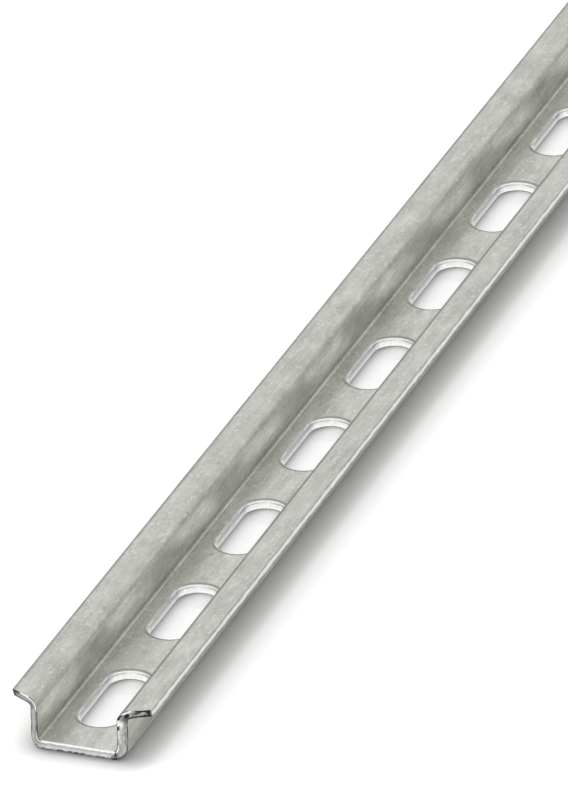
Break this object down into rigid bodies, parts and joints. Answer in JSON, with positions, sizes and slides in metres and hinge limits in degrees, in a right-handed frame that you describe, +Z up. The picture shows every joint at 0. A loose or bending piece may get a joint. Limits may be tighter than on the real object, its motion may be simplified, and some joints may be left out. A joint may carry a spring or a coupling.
{
  "type": "din rail",
  "caption": "Long top-hat mounting rail in galvanised sheet steel, with two out-turned lips and a row of slots along its web.",
  "frame": {"origin": "middle of the rail's length and width, on the underside of the web", "axes": "+X along the rail, +Y across it, +Z up out of the channel's open side"},
  "size_m": [1, 0.015, 0.0055],
  "materials": {
    "galvanised_steel": "satin"
  },
  "bodies": {
    "root": {"din_rail": "galvanised_steel"}
  },
  "joints": []
}
